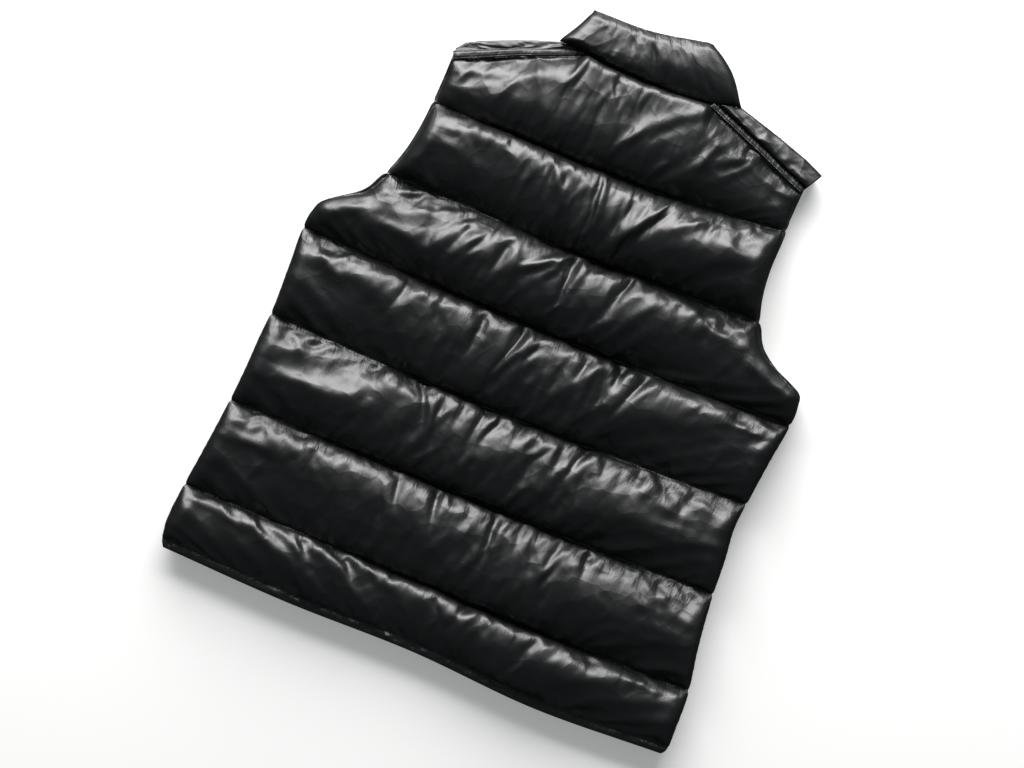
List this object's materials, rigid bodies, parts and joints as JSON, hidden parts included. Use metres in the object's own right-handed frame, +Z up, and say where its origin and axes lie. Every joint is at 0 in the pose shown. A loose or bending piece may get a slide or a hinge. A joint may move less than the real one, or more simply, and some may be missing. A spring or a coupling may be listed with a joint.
{
  "type": "puffer vest laid flat",
  "caption": "Sleeveless quilted down vest with a stand collar and a closed front zip, laid flat with its back up.",
  "frame": {"origin": "centre of the vest's plan box, on the surface that the vest lies on", "axes": "+Y from the hem to the collar, +X to the wearer's right, +Z up out of the back"},
  "size_m": [0.5506, 0.6834, 0.0446],
  "materials": {
    "shell_nylon": "glossy coated black nylon over down",
    "zip_tape": "matt woven",
    "zip_teeth": "satin moulded",
    "slider_metal": "black enamel"
  },
  "bodies": {
    "vest": {"back": "shell_nylon", "front_left": "shell_nylon", "front_right": "shell_nylon", "collar": "shell_nylon", "shoulder_tape_left": "shell_nylon", "shoulder_tape_right": "shell_nylon", "zip_tape_left": "zip_tape", "zip_tape_right": "zip_tape", "zip_chain": "zip_teeth", "zip_box": "zip_teeth", "zip_slider": "slider_metal"},
    "pull": {"zip_pull": "slider_metal"}
  },
  "joints": [
    {"name": "pull_hinge", "type": "hinge", "parent": "vest", "child": "pull", "pos_m": [0.00185, 0.27095, 0.0071], "axis": [1, 0, 0], "range_deg": [-11, 160]}
  ]
}
